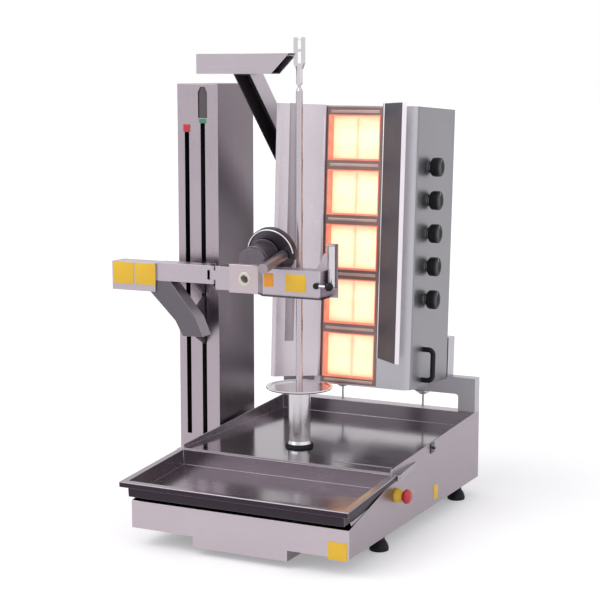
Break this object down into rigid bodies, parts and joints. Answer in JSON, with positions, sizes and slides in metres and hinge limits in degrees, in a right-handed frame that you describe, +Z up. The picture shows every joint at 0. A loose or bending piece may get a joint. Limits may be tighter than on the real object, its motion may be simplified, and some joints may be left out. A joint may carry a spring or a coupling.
{
  "type": "automatic doner kebab grill",
  "caption": "Gas doner grill with a turning spit, leaning stack of radiant burners between flared wings, lifting cutter arm, drip deck and sliding meat tray.",
  "frame": {"origin": "middle of the overall footprint, on the floor under the feet", "axes": "+X to the user's right, +Y to the rear, +Z up"},
  "size_m": [1.0366, 1.0298, 1.425],
  "materials": {
    "base_steel": "brushed stainless sheet",
    "deck_steel": "polished stainless sheet",
    "tray_steel": "stainless sheet, satin",
    "spit_steel": "turned stainless steel",
    "column_steel": "brushed stainless sheet",
    "arm_steel": "brushed stainless sheet",
    "unit_steel": "brushed stainless sheet",
    "frame_steel": "heat-tinted stainless sheet",
    "black_rubber": "moulded",
    "black_plastic": "moulded",
    "red_plastic": "moulded",
    "yellow_plastic": "moulded",
    "seal_plastic": "moulded seal",
    "tile_ceramic": "perforated fireclay",
    "dark_metal": "dark coated",
    "cast_metal": "cast housing",
    "bright_alu": "machined",
    "blade_steel": "ground and polished",
    "gas_brass": "machined",
    "belt_rubber": "reinforced"
  },
  "bodies": {
    "frame": {"base_body": "base_steel", "deck_pan": "deck_steel", "deck_insert": "deck_steel", "tray_guides": "tray_steel", "rubber_feet": "black_rubber", "estop_collar": "yellow_plastic", "side_latch": "spit_steel", "rear_bridge": "base_steel", "bridge_tie_rods": "spit_steel", "floor_ring": "seal_plastic", "top_bearing": "spit_steel", "spit_gearmotor": "cast_metal", "column_shell": "column_steel", "column_cap": "column_steel", "column_mount": "column_steel", "slot_stops": "red_plastic", "guide_rods": "spit_steel", "lift_motor": "cast_metal", "lift_belt": "belt_rubber", "rear_mast": "column_steel", "diagonal_brace": "column_steel", "top_bracket": "arm_steel", "carry_brackets": "unit_steel"},
    "tray": {"front_tray": "tray_steel"},
    "estop": {"estop_button": "red_plastic"},
    "spit": {"drive_post": "spit_steel", "meat_disc": "spit_steel", "spit_rod": "spit_steel", "drive_gear": "dark_metal"},
    "pinion": {"motor_pinion": "dark_metal"},
    "top_wheel": {"upper_pulley": "bright_alu"},
    "low_wheel": {"lower_pulley": "bright_alu"},
    "carriage": {"carriage_block": "bright_alu", "cross_arm": "arm_steel", "arm_strut": "arm_steel", "swing_pin": "dark_metal"},
    "head": {"head_carrier": "arm_steel", "head_gearbox": "bright_alu", "head_housing": "arm_steel", "head_sole": "dark_metal", "blade_guard": "dark_metal", "blade_motor": "dark_metal", "grip_bar": "bright_alu", "roller_plate": "arm_steel"},
    "blade": {"round_blade": "blade_steel"},
    "roller": {"guide_roller": "spit_steel"},
    "lever": {"thickness_lever": "black_plastic"},
    "burner": {"burner_housing": "unit_steel", "burner_frame": "frame_steel", "ceramic_tiles": "tile_ceramic", "burner_plenums": "dark_metal", "gas_manifold": "gas_brass", "pull_handle": "unit_steel"},
    "wing_l": {"left_wing": "unit_steel"},
    "wing_r": {"right_wing": "unit_steel"},
    "knob_1": {"gas_knob_1": "black_plastic"},
    "knob_2": {"gas_knob_2": "black_plastic"},
    "knob_3": {"gas_knob_3": "black_plastic"},
    "knob_4": {"gas_knob_4": "black_plastic"},
    "knob_5": {"gas_knob_5": "black_plastic"}
  },
  "joints": [
    {"name": "tray_slide", "type": "slide", "parent": "frame", "child": "tray", "axis": [0, -0.9968, -0.0802], "range_m": [0, 0.2]},
    {"name": "estop_push", "type": "slide", "parent": "frame", "child": "estop", "axis": [-1, 0, 0], "range_m": [0, 0.005], "stiffness_N_per_m": 900},
    {"name": "spit_spin", "type": "hinge", "parent": "frame", "child": "spit", "pos_m": [0.0947, -0.017, 0.153], "axis": [0, 0, 1], "continuous": true},
    {"name": "pinion_spin", "type": "hinge", "parent": "frame", "child": "pinion", "pos_m": [0.1847, -0.017, 0.153], "axis": [0, 0, 1], "continuous": true},
    {"name": "arm_lift", "type": "slide", "parent": "frame", "child": "carriage", "axis": [0, 0, 1], "range_m": [-0.25, 0.4]},
    {"name": "top_wheel_spin", "type": "hinge", "parent": "frame", "child": "top_wheel", "pos_m": [-0.2893, 0.23, 1.223], "axis": [1, 0, 0], "range_deg": [-1000, 1000]},
    {"name": "low_wheel_spin", "type": "hinge", "parent": "frame", "child": "low_wheel", "pos_m": [-0.2893, 0.23, 0.143], "axis": [1, 0, 0], "range_deg": [-1000, 1000]},
    {"name": "head_swing", "type": "hinge", "parent": "carriage", "child": "head", "pos_m": [-0.1708, -0.065, 0.7], "axis": [0, 0, 1], "range_deg": [-55, 4]},
    {"name": "blade_spin", "type": "hinge", "parent": "head", "child": "blade", "pos_m": [0.0377, -0.075, 0.805], "axis": [0, 0.9781, 0.2079], "continuous": true},
    {"name": "roller_spin", "type": "hinge", "parent": "head", "child": "roller", "pos_m": [0.2347, -0.091, 0.713], "axis": [0, 0, 1], "continuous": true},
    {"name": "lever_turn", "type": "hinge", "parent": "head", "child": "lever", "pos_m": [0.2097, -0.135, 0.725], "axis": [0, 1, 0], "range_deg": [-30, 30]},
    {"name": "burner_slide", "type": "slide", "parent": "frame", "child": "burner", "axis": [0, -0.9985, 0.0546], "range_m": [0, 0.04]},
    {"name": "left_wing_turn", "type": "hinge", "parent": "burner", "child": "wing_l", "pos_m": [0.0872, 0.12741, 0.41023], "axis": [0, 0.0546, 0.9985], "range_deg": [-15, 20]},
    {"name": "right_wing_turn", "type": "hinge", "parent": "burner", "child": "wing_r", "pos_m": [0.2812, 0.13123, 0.48012], "axis": [0, 0.0546, 0.9985], "range_deg": [-20, 30]},
    {"name": "knob_1_turn", "type": "hinge", "parent": "burner", "child": "knob_1", "pos_m": [0.3817, 0.26135, 0.64727], "axis": [1, 0, 0], "range_deg": [0, 180]},
    {"name": "knob_2_turn", "type": "hinge", "parent": "burner", "child": "knob_2", "pos_m": [0.3817, 0.26678, 0.74662], "axis": [1, 0, 0], "range_deg": [0, 180]},
    {"name": "knob_3_turn", "type": "hinge", "parent": "burner", "child": "knob_3", "pos_m": [0.3817, 0.27222, 0.84597], "axis": [1, 0, 0], "range_deg": [0, 180]},
    {"name": "knob_4_turn", "type": "hinge", "parent": "burner", "child": "knob_4", "pos_m": [0.3817, 0.27765, 0.94532], "axis": [1, 0, 0], "range_deg": [0, 180]},
    {"name": "knob_5_turn", "type": "hinge", "parent": "burner", "child": "knob_5", "pos_m": [0.3817, 0.28308, 1.04468], "axis": [1, 0, 0], "range_deg": [0, 180]}
  ],
  "couplings": [
    {"joint": "pinion_spin", "follows": "spit_spin", "ratio": -3},
    {"joint": "top_wheel_spin", "follows": "arm_lift", "rad_per_m": 40},
    {"joint": "low_wheel_spin", "follows": "arm_lift", "rad_per_m": 40}
  ]
}
